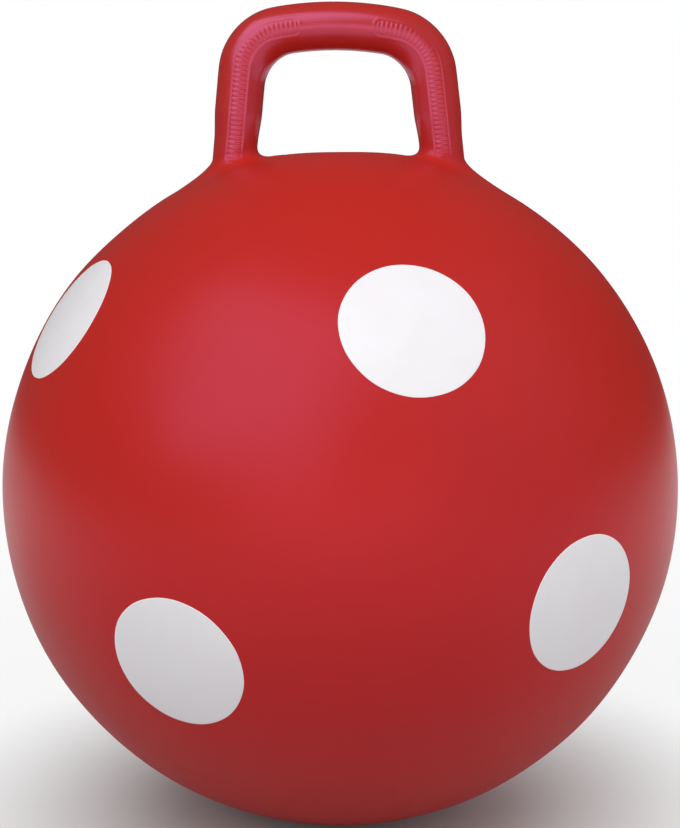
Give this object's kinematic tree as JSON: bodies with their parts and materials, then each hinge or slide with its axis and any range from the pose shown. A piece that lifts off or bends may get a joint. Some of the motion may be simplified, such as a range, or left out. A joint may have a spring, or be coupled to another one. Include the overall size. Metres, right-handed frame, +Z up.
{
  "type": "hopper ball",
  "caption": "Inflated vinyl hopper ball with a moulded loop handle for two hands, a printed spot pattern and an air valve with a pull-out plug.",
  "frame": {"origin": "middle of the flat patch under the ball, on the ground", "axes": "+Z up through the ball's centre and the middle of the handle, +X along the handle's bar, -Y towards the front of the picture"},
  "size_m": [0.4499, 0.4498, 0.5414],
  "materials": {
    "vinyl_skin": "soft vinyl, satin gloss",
    "vinyl_handle": "soft vinyl, satin gloss, with ribbed grip strips",
    "vinyl_valve": "soft vinyl, satin",
    "plug_plastic": "soft polyethylene, satin",
    "spot_ink": "printed white vinyl ink, satin gloss"
  },
  "bodies": {
    "ball": {"ball_skin": "vinyl_skin", "handle": "vinyl_handle", "grip_ribs_left": "vinyl_handle", "grip_ribs_right": "vinyl_handle", "valve_seat": "vinyl_valve", "spot_upper_1": "spot_ink", "spot_upper_2": "spot_ink", "spot_upper_3": "spot_ink", "spot_upper_4": "spot_ink", "spot_upper_5": "spot_ink", "spot_lower_1": "spot_ink", "spot_lower_2": "spot_ink", "spot_lower_3": "spot_ink", "spot_lower_4": "spot_ink", "spot_lower_5": "spot_ink"},
    "plug": {"valve_plug": "plug_plastic"}
  },
  "joints": [
    {"name": "plug_pull", "type": "slide", "parent": "ball", "child": "plug", "axis": [0, 0.9659, 0.2588], "range_m": [0, 0.02]}
  ]
}
